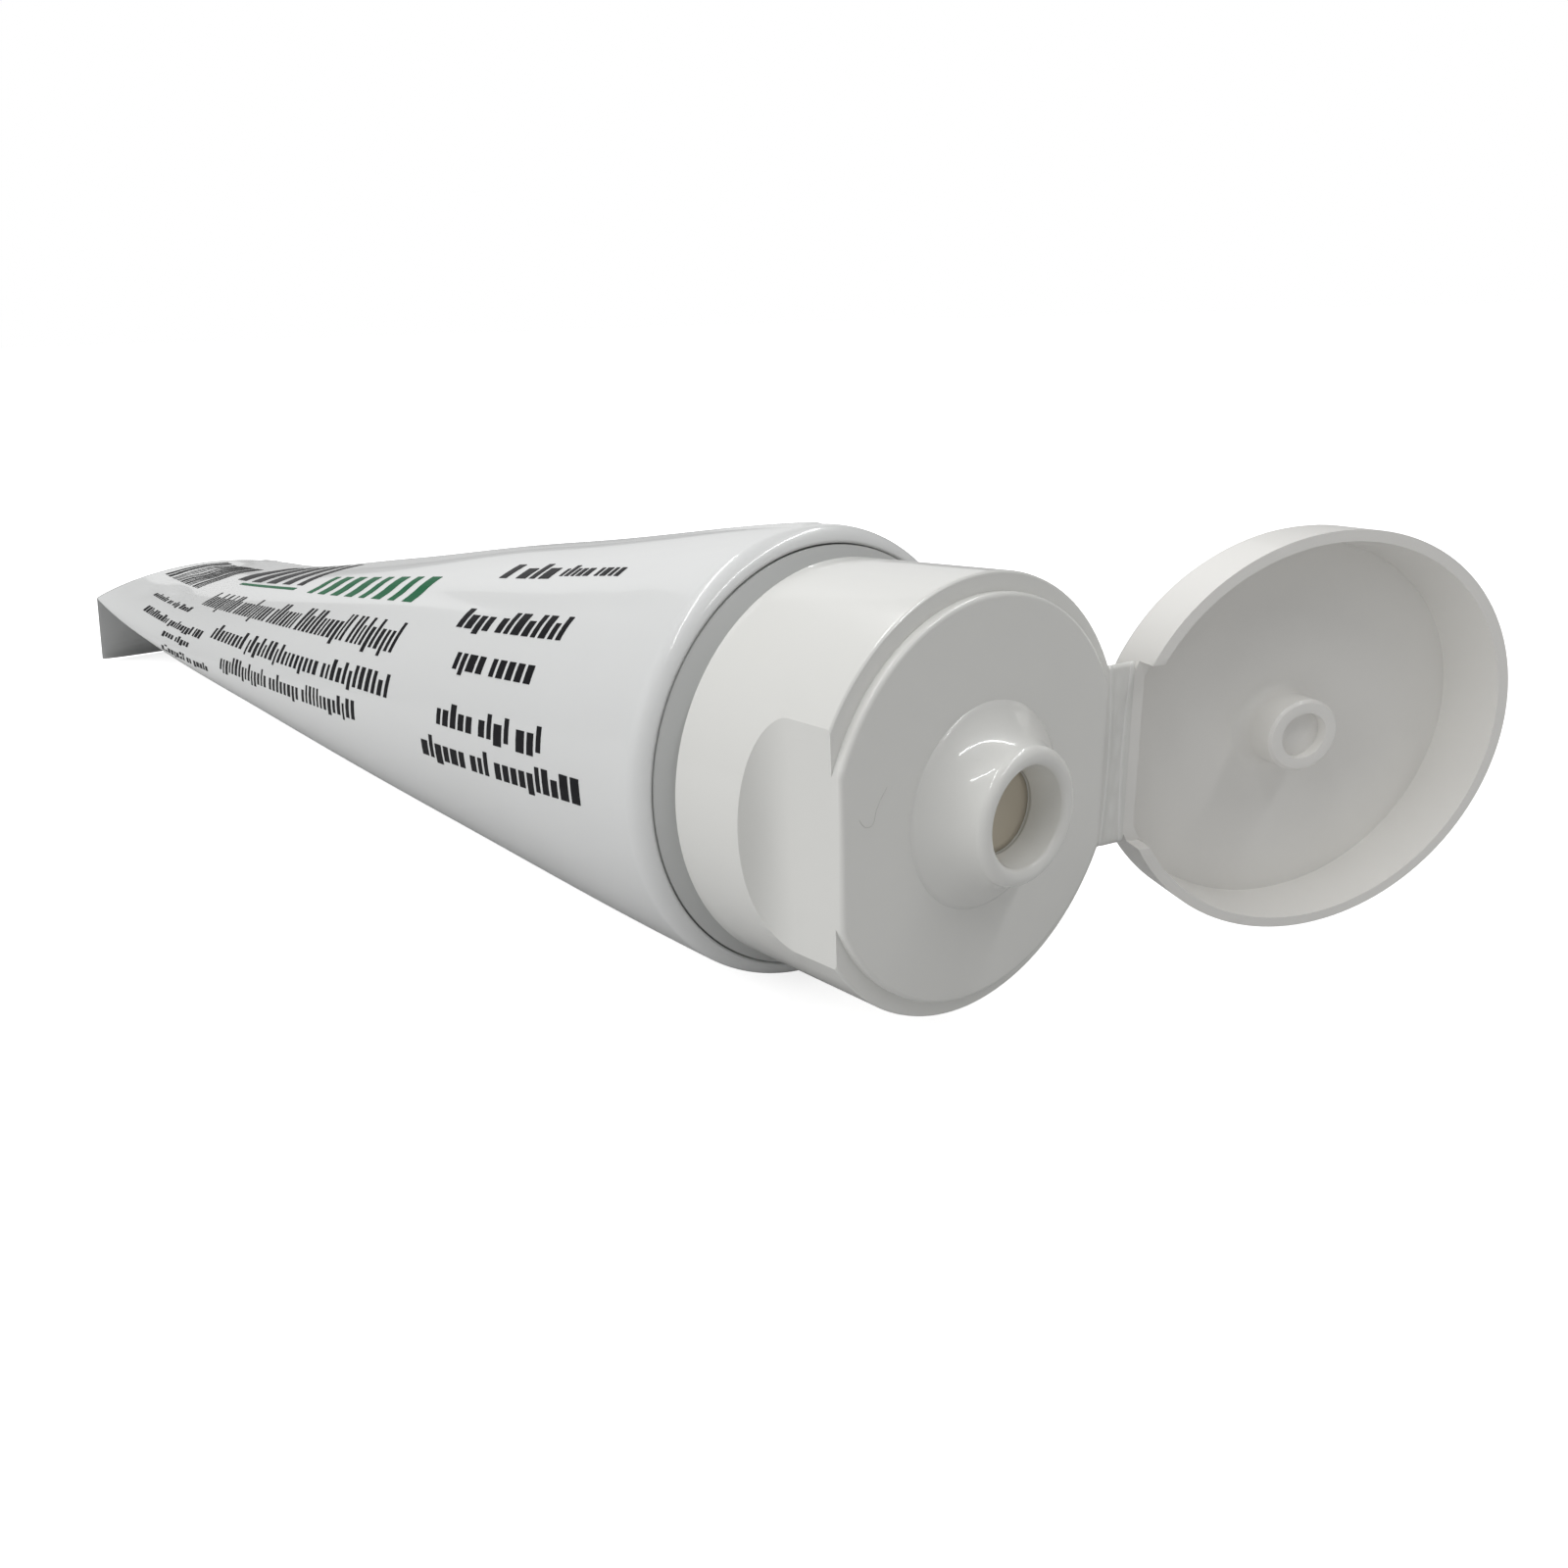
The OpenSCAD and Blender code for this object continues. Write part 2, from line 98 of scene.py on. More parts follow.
# Slack of the squeezed sleeve against its even form: rise of its top and of its lower front side,
# by distance behind the roll
SLACK_AT = (0, 8, 16, 25, 35, 48, 62, 75, 93, 107, 130, 150, 160)
SLACK_TOP = (0, -0.15, -0.5, -0.65, -0.65, -0.25, -0.1, 0.05, 0.4, 0.4, 0.1, -0.1, -0.4)
SLACK_LOW = (0, -0.3, -0.35, -0.35, -0.25, -0.25, -0.15, 0.1, 0.5, 0.45, 0.4, 0, 0)

# Dents: distance behind the roll, girth round from the top, length and width of each, and depth
DENTS = (
    (60, 14.5, 42, 1.4, 0.18), (28, 15.5, 16, 1.2, 0.13), (9, 14.2, 7, 1.6, 0.14),
    (151, 9, 5, 2.2, 0.35), (146, 15, 7, 1.8, 0.3), (153, 19, 4, 2.5, 0.4),
    (139, 22, 8, 2, 0.22), (133, 12, 9, 2.4, -0.2), (148, 25, 5, 1.6, 0.3),
    (4, 27, 3, 9, 0.14), (12, 11, 3, 2.5, 0.1), (8, 33, 4, 5, 0.12), (10, 22, 2.4, 5, 0.07),
    (17, 31, 5, 3.5, 0.08), (14, 38, 6, 4, -0.1), (6, 18, 2, 2.2, 0.06),
)

# Gel: its clearance, half height of the slit it ends in, and heights above the cap's ledge with radii
GEL_CLEAR = 0.15
SLIT_HALF = 0.04
GEL_NECK = ((-22.6, 17.9), (-18.8, 17.9), (-17.3, 15.75), (-14.4, 6.7), (-2.95, 6.7), (-2.95, 5.6),
            (-0.75, 5.6), (-0.75, 3.37), (1.93, 3.37), (1.8, 2.9), (1.72, 1.5), (1.7, 0.02))

# Nozzle's skin, by radii and heights above the ledge: its flare, its mouth, and its back inside the cap
FLARE = ((8.1, 0.86), (7.7, 1.08), (7.3, 1.36), (6.9, 1.69), (6.5, 2.07), (6.15, 2.48), (5.85, 2.93),
         (5.6, 3.4), (5.42, 3.85))
LIP_R = 4.5
LIP_OUT = (4.2, 0.83)
LIP_IN = (4.4, 0.63)
MOUTH = ((3.75, 3.9), (3.63, 3.4), (3.515, 2.9), (3.385, 2.3), (3.385, 2.1))
FLARE_BACK = ((4.4, 2.0), (5.2, 1.5), (5.2, 0.7), (8.15, 0.7))

# Fine marks on the cap's plate: its height above the ledge, a gate mark, and a scratch as y and z
PLATE_X = 0.85
GATE_AT = (-1.3, -6.91)
GATE_R = 0.17
GATE_WIRE = 0.03
SCRATCH = ((-10.4, 4.1), (-11.0, 3.4), (-11.5, 2.6), (-11.65, 1.9), (-11.9, 1.6), (-12.4, 1.6), (-12.8, 1.9),
           (-13.05, 2.35))
SCRATCH_WIRE = 0.022

# Hinge strap: its ends as y and height above the ledge, and its half width and thickness
STRAP_FROM = (15.386, -0.25)
STRAP_TO = (17.92, 0.38)
STRAP_HALF = 7.8
STRAP_T = 0.5

# The strap's two grooves by shares of its length and depth, its crumple between them, and the share of
# its half width that thins to each edge
BEND_AT = 0.1
BEND_BOW = 0.14
GROOVE_DEPTH = 0.15
GROOVE_WIDTH = 0.05
CRUMPLE_RISE = 0.035
CRUMPLE_SPREAD = 0.2
THIN_EDGE = 0.03

# Print: how far it stands out and reaches in, and the bars near the fold by distance behind the roll
# and by girth from the top
PRINT_LIFT = 0.045
PRINT_SINK = 0.05
BARS_FROM, BARS_TO = 157.0, 133
BARS_GIRTH = (8, 19.5)
BAR_WIDTHS = (0.4, 0.6, 0.9, 1.3)
BAR_GAPS = (0.7, 1.0, 1.4)

# Print's blocks: their widths, and the shares that rise above or hang below the others, and how far
BLOCK_WIDTHS = (0.7, 1.0, 1.0, 1.3)
TALL_SHARE = 0.3
TALL_PART = 0.27
DEEP_SHARE = 0.12
DEEP_PART = 0.16

# Plastics: index, mottle in the colour and gloss, fine waviness, and the coat's roughness
PLASTIC_IOR = 1.49
MOTTLE_SCALE = 60.0
MOTTLE_TINT = 0.02
GLOSS_SPREAD = 0.15
WAVE_SCALE = 480.0
WAVE_STRENGTH = 0.02
WAVE_HEIGHT = 0.0002
COAT_ROUGHNESS = 0.06

# Softened edges of the moulded nodes: the least angle that is rounded, and widths in millimetres
SOFT_ANGLE = math.radians(25)
SOFT_CAP = 0.12
SOFT_SHOULDER = 0.05

# The tube's frame in the row's frame: the hinge's axis is the tube's own upward direction
HINGE = frame["joints"][0]
UP = Vector(HINGE["axis"])
PITCH = math.atan2(-UP.x, UP.z)
LAY = Matrix.Rotation(-PITCH, 4, "Y") @ Matrix.Scale(MM, 4) @ Matrix.Translation((-THROAT_X, 0, 0))

# Camera of the photograph, in the tube's frame
CAMERA_AT = (55.04, -63.90, 28.72)
CAMERA_RIGHT = Vector((0.57635, 0.81358, -0.07687))
CAMERA_DOWN = Vector((0.26464, -0.27481, -0.92436))
CAMERA_LENS = 25.95
CAMERA_SHIFT = (0.0646, 0.0597)

# Floor, surround and lamps: the floor's half size in metres, strengths, and watts of the lamps
FLOOR_SIZE = 40.0
FLOOR_GREY = 0.55
FLOOR_LIFT = 0.73
WORLD_LIGHT = 0.29
CEILING_WATTS = 4.5
WALL_WATTS = 1.3
FILL_WATTS = 5.3
TOP_WATTS = 0.6

# Ceiling lamps, in metres: the way they run and the way across, then offsets, shift, height and size
LAMP_ALONG = Vector((-0.76, 0.65, 0))
LAMP_ACROSS = Vector((0.65, 0.76, 0))
LAMP_OFFSETS = (("ceiling_lamp_far", 0.44), ("ceiling_lamp_near", -0.41))
LAMP_SHIFT = 0.2
LAMP_HEIGHT = 1.0
LAMP_SIZE = (1.8, 0.035)


def half_width(half_t):
    """Half width of a flattened ring that keeps the sleeve's girth."""
    quarter = math.pi * SLEEVE_R / 2
    return (quarter**GIRTH_POWER - half_t**GIRTH_POWER) ** (1 / GIRTH_POWER)


def half_height(t):
    """Half height of the sleeve at share t of its body."""
    return SLEEVE_R - (SLEEVE_R - FOLD_HALF) * t**TAPER_POWER


def body_z(t, y):
    """Height of the sleeve's middle surface at share t of its body and y across it."""
    a = half_width(half_height(t))
    return FOLD_LIFT * t**4 - t**2 * (FOLD_ARCH * (y / a) ** 2 + math.tan(FOLD_TWIST) * y)


def seam_lift(q):
    """Height of the lap seam at angle q."""
    half = SEAM_W / 2 / SLEEVE_R
    edge = half * 0.15
    away = np.abs((q - SEAM_ANGLE + math.pi) % (2 * math.pi) - math.pi)
    return SEAM_H * np.clip((half + edge - away) / edge, 0, 1)


def smooth_curve(at, values, spread=6.0):
    """Points of a curve through values, evened over a spread."""
    fine = np.arange(-3 * spread, BODY_LEN + 3 * spread, 0.5)
    weight = np.exp(-0.5 * (np.arange(-3 * spread, 3 * spread + 0.5, 0.5) / spread) ** 2)
    evened = np.convolve(np.interp(fine, at, values), weight / weight.sum(), "same")
    inside = (fine >= 0) & (fine <= BODY_LEN)
    return fine[inside], evened[inside] - evened[inside][0] * np.exp(-fine[inside] / spread)


TOP_CURVE = smooth_curve(SLACK_AT, SLACK_TOP)
LOW_CURVE = smooth_curve(SLACK_AT, SLACK_LOW)


def slack(t, q):
    """Rise of the sleeve's skin against its even form."""
    top = np.interp(t * BODY_LEN, *TOP_CURVE) * np.clip(np.sin(q), 0, 1)
    return top + np.interp(t * BODY_LEN, *LOW_CURVE) * np.clip(np.cos(q - LOW_ANGLE), 0, 1) ** 2


def even_ring(t, q, inset=0.0, lift=0.0):
    """Points of the body at share t and angles q without its dents, drawn in by inset."""
    b = half_height(t)
    y = (half_width(b) - inset + lift) * np.cos(q)
    z = body_z(t, y) + (b - inset + lift) * np.sin(q) + slack(t, q)
    return np.stack([np.full_like(y, ROLL_X - t * BODY_LEN), y, z], axis=-1)


def girth_table(t):
    """Angles round a ring from the top towards -Y, and the girth run up to each."""
    turn = np.linspace(TOP_ANGLE, TOP_ANGLE + 2 * math.pi, 721)
    steps = np.linalg.norm(np.diff(even_ring(t, turn), axis=0), axis=1)
    return turn, np.concatenate([[0], np.cumsum(steps)])


def dent_depth(x, girth):
    """Depth of the dents at a distance behind the roll and a girth from the top."""
    depth = np.zeros_like(girth)
    for at, round_at, length, width, deep in DENTS:
        depth += deep * np.exp(-((x - at) / length) ** 2 - ((girth - round_at) / width) ** 2)
    return depth


def body_ring(t, q, lift=0.0):
    """Points of the sleeve's outside at share t and angles q, dents and seam included."""
    turn, girths = girth_table(t)
    girth = np.interp((q - TOP_ANGLE) % (2 * math.pi) + TOP_ANGLE, turn, girths)
    return even_ring(t, q, lift=seam_lift(q) + lift - dent_depth(t * BODY_LEN, girth))


def tail_half(u):
    """Half thickness of the tail at share u, with the crimp's pressed lines."""
    if u < CRIMP_FROM:
        return FOLD_HALF + (SLEEVE_WALL - FOLD_HALF) * u / CRIMP_FROM
    phase = 2 * math.pi * CRIMP_LINES * (u - CRIMP_FROM) / (1 - CRIMP_FROM)
    return SLEEVE_WALL - CRIMP_PRESS * (1 - math.cos(phase)) / 2


def tail_ring(u, q, half_t, inset=0.0):
    """Points of the bent tail at share u from the fold to the crimp's end."""
    lift = seam_lift(q) if inset == 0 else 0
    y = (half_width(FOLD_HALF) - inset) * np.cos(q)
    z = (1 - u) * (body_z(1, y) + slack(1, q)) - u * CRIMP_DROP + (half_t + lift) * np.sin(q)
    return np.stack([np.full_like(y, FOLD_X - u * TAIL_REACH), y, z], axis=-1)


def roll_ring(angle, q, inset=0.0):
    """Points of the rolled end at an angle round its small arc."""
    r = ROLL_MID + (ROLL_R - inset) * math.cos(angle)
    x = ROLL_X + (ROLL_R - inset) * math.sin(angle)
    return np.stack([np.full_like(q, x), r * np.cos(q), r * np.sin(q)], axis=-1)


def cap_ring(x, r, q):
    """Points of a circle about the nozzle's axis."""
    return np.stack([np.full_like(q, x), r * np.cos(q), r * np.sin(q)], axis=-1)


def mesh_object(name, points, faces, smooth=True):
    """A mesh from points in the tube's frame."""
    mesh = bpy.data.meshes.new(name)
    mesh.from_pydata([tuple(p) for p in points], [], faces)
    mesh.transform(LAY)
    mesh.update()
    for polygon in mesh.polygons:
        polygon.use_smooth = smooth
    made = bpy.data.objects.new(name, mesh)
    bpy.context.scene.collection.objects.link(made)
    return made


def skin(rings, sides, start=0):
    """Quads between the rings of a stack, each ring closed."""
    return [
        (start + k * sides + i, start + k * sides + (i + 1) % sides,
         start + (k + 1) * sides + (i + 1) % sides, start + (k + 1) * sides + i)
        for k in range(rings - 1) for i in range(sides)
    ]


def slit_faces(start, sides, turned):
    """Faces that close a flattened ring from its upper half to its lower half."""
    faces = []
    for i in range(sides // 2):
        face = (start + i, start + i + 1, start + (sides - i - 1) % sides, start + (sides - i) % sides)
        face = tuple(dict.fromkeys(face))
        if len(face) > 2:
            faces.append(face[::-1] if turned else face)
    return faces


def make_sleeve():
    """The sleeve: its outside from lip to crimp, and its inside back from a slit to the lip."""
    sides = 200
    q = np.linspace(0, 2 * math.pi, sides, endpoint=False)
    outer = [roll_ring(a, q) for a in np.linspace(ROLL_TURN, 0, 13)[:-1]]
    outer += [body_ring(t, q) for t in np.linspace(0, 1, 201)]
    outer += [tail_ring(u, q, tail_half(u)) for u in np.linspace(0, CRIMP_FROM, 16)[1:]]
    outer += [tail_ring(u, q, tail_half(u)) for u in np.linspace(CRIMP_FROM, 1, 33)[1:]]
    inner = [roll_ring(a, q, SLEEVE_WALL) for a in np.linspace(ROLL_TURN, 0, 7)[:-1]]
    inner += [even_ring(t, q, SLEEVE_WALL) for t in np.linspace(0, 1, 61)]
    inner += [tail_ring(CRIMP_FROM, q, SLIT_HALF, SLEEVE_WALL)]
    points = np.concatenate(outer + inner)
    first_inner = len(outer) * sides
    faces = [f[::-1] for f in skin(len(outer), sides)]
    faces += skin(len(inner), sides, first_inner)
    faces += [(i, (i + 1) % sides, first_inner + (i + 1) % sides, first_inner + i) for i in range(sides)]
    faces += slit_faces(first_inner - sides, sides, False)
    faces += slit_faces(len(points) - sides, sides, True)
    return mesh_object("sleeve_laminate", points, faces)


def make_gel():
    """The gel: from the crimp's slit along the sleeve, through the neck, to just under the throat."""
    sides = 96
    q = np.linspace(0, 2 * math.pi, sides, endpoint=False)
    inset = SLEEVE_WALL + GEL_CLEAR
    from_t = (ROLL_X - GEL_NECK[0][0]) / BODY_LEN
    rings = [tail_ring(0.85 * CRIMP_FROM, q, SLIT_HALF, inset), tail_ring(CRIMP_FROM / 2, q, 0.3, inset)]
    rings += [even_ring(t, q, inset) for t in np.linspace(1, from_t, 61)]
    rings += [cap_ring(x, r, q) for x, r in GEL_NECK]
    points = np.concatenate(rings)
    faces = skin(len(rings), sides)
    faces += slit_faces(0, sides, True)
    faces.append(tuple(range(len(points) - sides, len(points))))
    return mesh_object("gel_fill", points, faces)


def make_flare():
    """The nozzle's skin: a volcano's side that meets the plate at an edge, and a rounded lip."""
    sides = 160
    q = np.linspace(0, 2 * math.pi, sides, endpoint=False)
    profile = list(FLARE)
    for turn in np.radians(np.linspace(0, 180, 19)):
        h, r = LIP_OUT if turn < math.pi / 2 else LIP_IN
        profile.append((LIP_R + r * math.cos(turn), h + r * math.sin(turn)))
    profile += MOUTH + FLARE_BACK
    rings = [cap_ring(h, r, q) for r, h in profile]
    faces = skin(len(rings), sides)
    last = (len(rings) - 1) * sides
    faces += [(last + i, last + (i + 1) % sides, (i + 1) % sides, i) for i in range(sides)]
    return mesh_object("nozzle_flare", np.concatenate(rings), faces)


def surface_patch(x_from, x_to, v_from, v_to, points, faces):
    """Adds a thin closed slab that follows the sleeve, from girth v_from to v_to and over a length."""
    across = max(1, int(math.ceil(abs(v_to - v_from) / 1.2)))
    along = max(1, int(math.ceil(abs(x_to - x_from) / 1.5)))
    start = len(points)
    for x in np.linspace(x_from, x_to, along + 1):
        t = min(max(x / BODY_LEN, 0), 1)
        turn, girths = girth_table(t)
        q = np.interp(np.linspace(v_from, v_to, across + 1), girths, turn)
        over, under = body_ring(t, q, PRINT_LIFT), body_ring(t, q, -PRINT_SINK)
        points.extend(list(over) + list(under))
    row = 2 * (across + 1)
    grid = []
    for i in range(along):
        for j in range(across):
            a = start + i * row + j
            grid.append((a, a + 1, a + 1 + row, a + row))
            a += across + 1
            grid.append((a, a + row, a + 1 + row, a + 1))
        for j in (0, across):
            a = start + i * row + j
            side = (a, a + row, a + row + across + 1, a + across + 1)
            grid.append(side if j == 0 else side[::-1])
    for i in (0, along):
        for j in range(across):
            a = start + i * row + j
            side = (a, a + across + 1, a + across + 2, a + 1)
            grid.append(side if i == 0 else side[::-1])
    faces.extend(grid)


def word_blocks(rand, x_from, x_to, words, gap):
    """Spans along a line of print: plain blocks in groups, which stand for words."""
    weights = []
    for n in words:
        weights.append([rand.choice(BLOCK_WIDTHS) for _ in range(n)])
    space = 1.5 * gap + 0.6
    total = sum(sum(w) + gap * (len(w) - 1) for w in weights) + space * (len(words) - 1)
    unit = (x_to - x_from) / total
    x, spans = x_from, []
    for w in weights:
        for k, width in enumerate(w):
            spans.append((x, x + width * unit, rand.random()))
            x += (width + gap) * unit
        x += (space - gap) * unit
    return spans


def make_print():
    """The sleeve's print, as plain bars and blocks with no words: dark ones and green ones."""
    rand = random.Random(7)
    dark, dark_faces, green, green_faces = [], [], [], []

    def line(x_from, x_to, v_from, v_to, words, points=dark, faces=dark_faces, plain=0.0, gap=0.45):
        """One line of print read towards the cap, its tops towards v_from."""
        height = v_to - v_from
        for a, b, kind in word_blocks(rand, x_from, x_to, words, gap):
            top = v_from + (0 if kind < TALL_SHARE else TALL_PART) * height * (1 - plain)
            low = v_to - (0 if kind > 1 - DEEP_SHARE else DEEP_PART) * height * (1 - plain)
            surface_patch(a, b, top, low, points, faces)

    x = BARS_FROM
    while x > BARS_TO:
        bar = rand.choice(BAR_WIDTHS)
        surface_patch(x, x - bar, *BARS_GIRTH, dark, dark_faces)
        x -= bar + rand.choice(BAR_GAPS)
    line(144.5, 121, 23.8, 25.2, (7, 2, 3, 4))
    line(139, 107, 27, 28.6, (11, 9, 3))
    line(123, 110, 29.2, 30.4, (4, 5))
    line(122, 101, 31.4, 32.6, (8, 2, 5))
    line(127, 93, 4.5, 14.2, (1, 1, 1, 1, 1), plain=1.0, gap=0.2)
    surface_patch(121, 93, 15, 15.7, green, green_faces)
    line(86, 50, 11.2, 16, (1, 1, 1, 1, 1, 1, 1, 1), green, green_faces, plain=1.0, gap=0.2)
    line(120, 46, 18.9, 23.4, (12, 11, 8, 12, 10), gap=0.9)
    line(103, 44, 25, 28, (9, 17, 12), gap=0.9)
    line(95.5, 52, 29, 31.6, (15, 8, 13), gap=0.9)
    line(36, 25.5, 8.3, 11.6, (1, 3))
    line(24, 13.5, 8.8, 11, (5, 4), gap=0.6)
    line(35, 14.5, 15.8, 18.8, (4, 8))
    line(31.5, 16.5, 20.1, 23.2, (4, 5))
    line(32.5, 13, 26.1, 28.9, (5, 4, 3))
    line(36, 7, 29.8, 32.6, (6, 3, 10))
    made = []
    for name, points, faces in (("print_dark", dark, dark_faces), ("print_green", green, green_faces)):
        made.append(mesh_object(name, points, faces, smooth=False))
    return made


def make_strap():
    """The strap between cap and lid: a thin web with a curved groove at each bend, and its stress marks."""
    steps, across = 48, 48
    (y0, z0), (y1, z1) = STRAP_FROM, STRAP_TO
    run = Vector((y1 - y0, z1 - z0))
    normal = Vector((run.y, -run.x)).normalized()
    points, marks = [], []
    for side in (1, -1):
        for i in range(steps + 1):
            s = i / steps
            for j in range(across + 1):
                w = 2 * j / across - 1
                bend = BEND_AT + BEND_BOW * (1 - w**2)
                groove = GROOVE_DEPTH * math.exp(-((min(s, 1 - s) - bend) / GROOVE_WIDTH) ** 2)
                half = STRAP_T / 2 - groove
                edge = max(0.0, abs(w) - (1 - THIN_EDGE)) / THIN_EDGE
                crumple = math.sin(5 * w + 9 * s) + math.sin(13 * w - 7 * s)
                crumple *= math.exp(-((s - 0.5) / CRUMPLE_SPREAD) ** 2)
                off = side * half * (1 - 0.5 * edge**2) + CRUMPLE_RISE * crumple * (1 - edge)
                y = y0 + run.x * s + normal.x * off
                z = z0 + run.y * s + normal.y * off
                points.append((z, y, w * STRAP_HALF))
                marks.append(min(1.0, groove * 7 + 0.2 * abs(crumple)))
    row = across + 1
    side_count = (steps + 1) * row
    faces = []
    for i in range(steps):
        for j in range(across):
            a = i * row + j
            faces.append((a, a + 1, a + 1 + row, a + row))
            a += side_count
            faces.append((a, a + row, a + 1 + row, a + 1))
    rim = list(range(row))
    rim += [i * row + across for i in range(1, steps + 1)]
    rim += [steps * row + j for j in range(across - 1, -1, -1)]
    rim += [i * row for i in range(steps - 1, 0, -1)]
    for a, b in zip(rim, rim[1:] + rim[:1]):
        faces.append((a, a + side_count, b + side_count, b))
    strap = mesh_object("hinge_web", points, faces)
    strap.data.attributes.new("stress", "FLOAT", "POINT").data.foreach_set("value", marks)
    return strap


def thin_line(name, path, radius, closed=False):
    """A fine raised line along points of the tube's frame."""
    curve = bpy.data.curves.new(name, "CURVE")
    curve.dimensions = "3D"
    curve.bevel_depth = radius * MM
    curve.bevel_resolution = 2
    spline = curve.splines.new("NURBS")
    spline.points.add(len(path) - 1)
    for point, at in zip(spline.points, path):
        point.co = (*(LAY @ Vector(at)), 1)
    spline.use_cyclic_u = closed
    spline.use_endpoint_u = not closed
    spline.order_u = 3
    made = bpy.data.objects.new(name, curve)
    bpy.context.scene.collection.objects.link(made)
    return made


def plastic(name, colour, roughness, clear=0.0, shine=0.5, worn=None):
    """Moulded plastic: a faint mottle in its colour and gloss, a fine waviness, and stress marks in worn."""
    material = bpy.data.materials.new(name)
    material.use_nodes = True
    nodes, links = material.node_tree.nodes, material.node_tree.links
    shader = nodes["Principled BSDF"]
    shader.inputs["IOR"].default_value = PLASTIC_IOR
    shader.inputs["Specular IOR Level"].default_value = shine
    shader.inputs["Coat Weight"].default_value = clear
    shader.inputs["Coat Roughness"].default_value = COAT_ROUGHNESS
    where = nodes.new("ShaderNodeTexCoord")
    noise = nodes.new("ShaderNodeTexNoise")
    noise.inputs["Scale"].default_value = MOTTLE_SCALE
    noise.inputs["Detail"].default_value = 4
    links.new(where.outputs["Object"], noise.inputs["Vector"])
    ramp = nodes.new("ShaderNodeMapRange")
    ramp.inputs["To Min"].default_value = 1 - MOTTLE_TINT
    ramp.inputs["To Max"].default_value = 1
    links.new(noise.outputs["Fac"], ramp.inputs["Value"])
    mix = nodes.new("ShaderNodeVectorMath")
    mix.operation = "SCALE"
    mix.inputs[0].default_value = colour
    links.new(ramp.outputs["Result"], mix.inputs["Scale"])
    tinted = mix.outputs["Vector"]
    if worn:
        stress = nodes.new("ShaderNodeAttribute")
        stress.attribute_name = "stress"
        whiten = nodes.new("ShaderNodeMix")
        whiten.data_type = "RGBA"
        links.new(stress.outputs["Fac"], whiten.inputs["Factor"])
        links.new(tinted, whiten.inputs["A"])
        whiten.inputs["B"].default_value = (*worn, 1)
        tinted = whiten.outputs["Result"]
    links.new(tinted, shader.inputs["Base Color"])
    gloss = nodes.new("ShaderNodeMapRange")
    gloss.inputs["To Min"].default_value = roughness * (1 - GLOSS_SPREAD)
    gloss.inputs["To Max"].default_value = roughness * (1 + GLOSS_SPREAD)
    links.new(noise.outputs["Fac"], gloss.inputs["Value"])
    links.new(gloss.outputs["Result"], shader.inputs["Roughness"])
    wave = nodes.new("ShaderNodeTexNoise")
    wave.inputs["Scale"].default_value = WAVE_SCALE
    links.new(where.outputs["Object"], wave.inputs["Vector"])
    bumped = nodes.new("ShaderNodeBump")
    bumped.inputs["Strength"].default_value = WAVE_STRENGTH
    bumped.inputs["Distance"].default_value = WAVE_HEIGHT
    links.new(wave.outputs["Fac"], bumped.inputs["Height"])
    links.new(bumped.outputs["Normal"], shader.inputs["Normal"])
    return material


def dress(node, material):
    """Gives a CAD node its material."""
    mesh = frame["nodes"][node].data
    mesh.materials.clear()
    mesh.materials.append(material)


def soften(node, width):
    """Rounds a CAD node's edges a little and evens its shading, as moulding does."""
    thing = frame["nodes"][node]
    weld = thing.modifiers.new("weld", "WELD")
    weld.merge_threshold = 1e-6
    bevel = thing.modifiers.new("soft_edges", "BEVEL")
    bevel.limit_method = "ANGLE"
    bevel.angle_limit = SOFT_ANGLE
    bevel.width = width * MM
    bevel.segments = 3
    even = thing.modifiers.new("even_shading", "WEIGHTED_NORMAL")
    even.keep_sharp = False
    even.weight = 100


def add_piece(thing, material, body, node=None):
    """Dresses a piece with its material, declares what it rides on, and hides the CAD node it replaces, if
    one is given.
    """
    thing.data.materials.append(material)
    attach(thing, body)
    if node:
        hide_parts(node)


def background(nodes, strength):
    """A white world shader of one strength."""
    shader = nodes.new("ShaderNodeBackground")
    shader.inputs["Color"].default_value = (1, 1, 1, 1)
    shader.inputs["Strength"].default_value = strength
    return shader


def shows_to_camera(nodes, links):
    """1 for what the camera sees, directly or through glass, and 0 for light on the object."""
    rays = nodes.new("ShaderNodeLightPath")
    seen = nodes.new("ShaderNodeMath")
    seen.operation = "MAXIMUM"
    links.new(rays.outputs["Is Camera Ray"], seen.inputs[0])
    links.new(rays.outputs["Is Transmission Ray"], seen.inputs[1])
    return seen.outputs["Value"]


